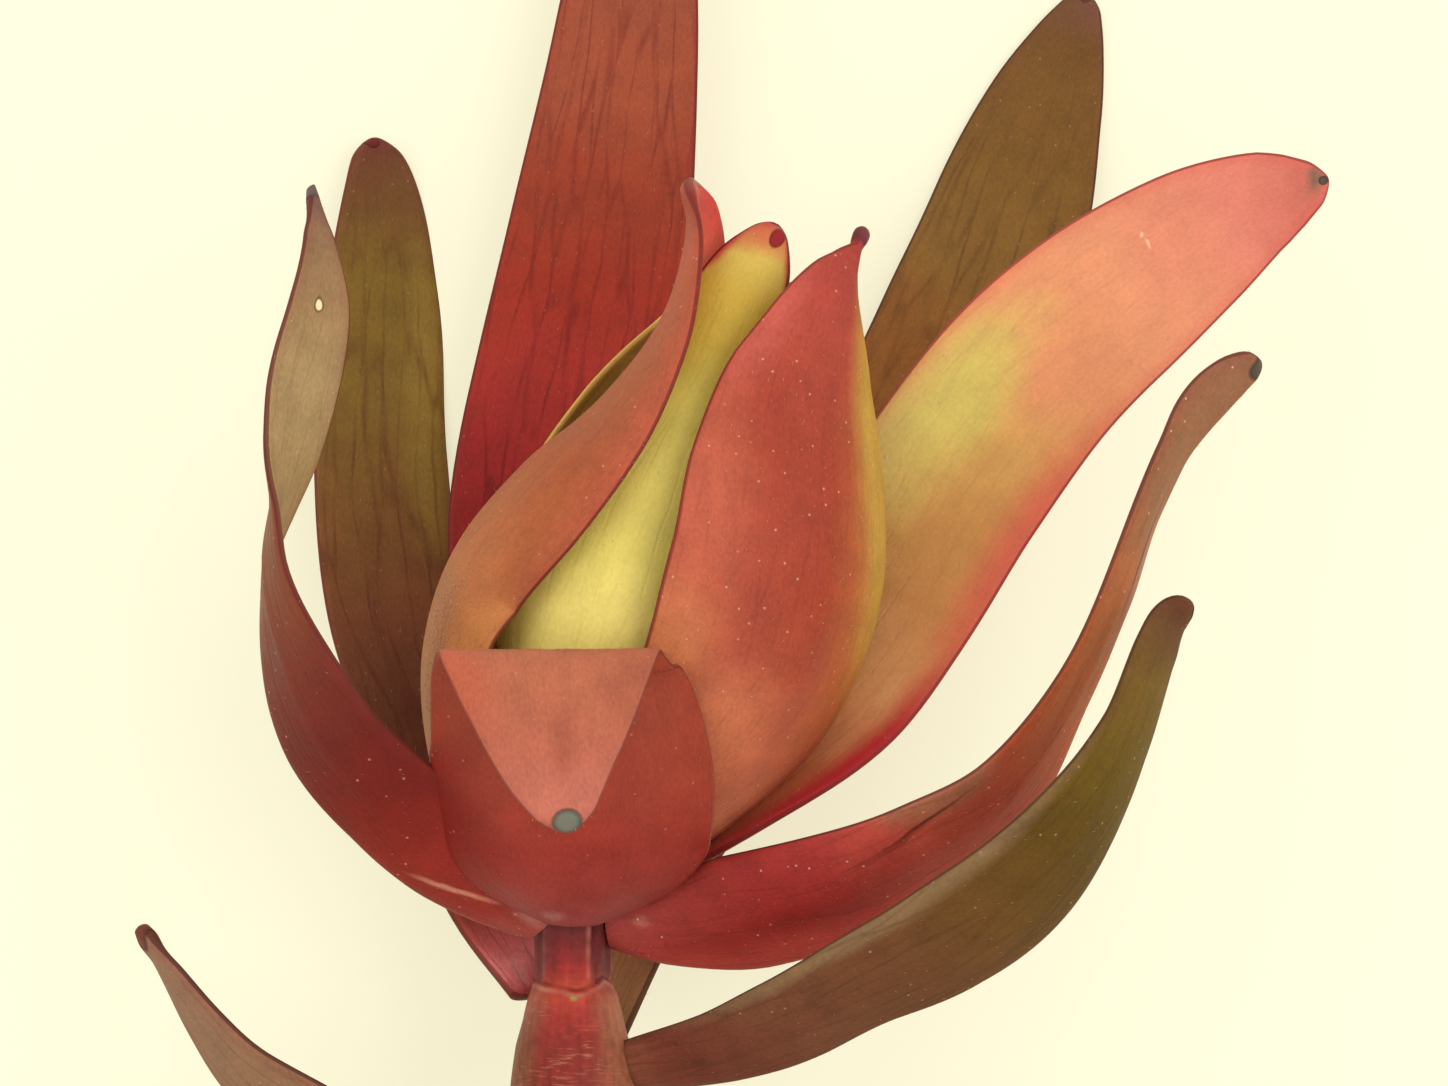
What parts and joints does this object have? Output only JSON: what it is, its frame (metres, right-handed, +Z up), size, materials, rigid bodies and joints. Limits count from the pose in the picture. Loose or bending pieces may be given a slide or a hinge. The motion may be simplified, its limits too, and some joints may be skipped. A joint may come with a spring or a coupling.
{
  "type": "cut conebush flower stem",
  "caption": "Cut stem of red conebush lying on its side: a leafy woody stem with a closed cup of broad red and yellow-green bracts round a small cone, and one bract folded outward.",
  "frame": {"origin": "centre of the narrow flat spot under the cut end of the stem, on the surface that the flower lies on", "axes": "+Z up from that surface, +Y along the lying flower from the cut end towards the head, +X to the flower's right as the head is seen from above"},
  "size_m": [0.1065, 0.2843, 0.0484],
  "materials": {
    "stem": "smooth young bark, satin, red with olive sides",
    "cone": "matte, yellow-green florets in tight scales",
    "bract": "satin, terracotta red with fine silky hairs",
    "inner_bract": "satin, yellow-green with a red rim",
    "open_bract": "satin, salmon red with a yellow-green middle",
    "red_leaf": "satin, crimson turning brown-red",
    "green_leaf": "satin, olive green flushed with brown-red"
  },
  "bodies": {
    "root": {"stem": "stem", "flower_cone": "cone", "bract_front": "bract", "bract_left": "bract", "bract_right": "bract", "bract_inner": "inner_bract", "bract_open": "open_bract", "bract_back_left": "bract", "bract_back": "bract", "leaf_tall_red": "red_leaf", "leaf_left_green": "green_leaf", "leaf_left_long": "red_leaf", "leaf_back_right": "green_leaf", "leaf_right_red": "red_leaf", "leaf_right_green": "green_leaf", "leaf_low_left": "green_leaf", "stem_leaf_1": "green_leaf", "stem_leaf_2": "green_leaf", "stem_leaf_3": "green_leaf", "stem_leaf_4": "green_leaf", "stem_leaf_5": "green_leaf", "stem_leaf_6": "green_leaf", "stem_leaf_7": "green_leaf"}
  },
  "joints": []
}
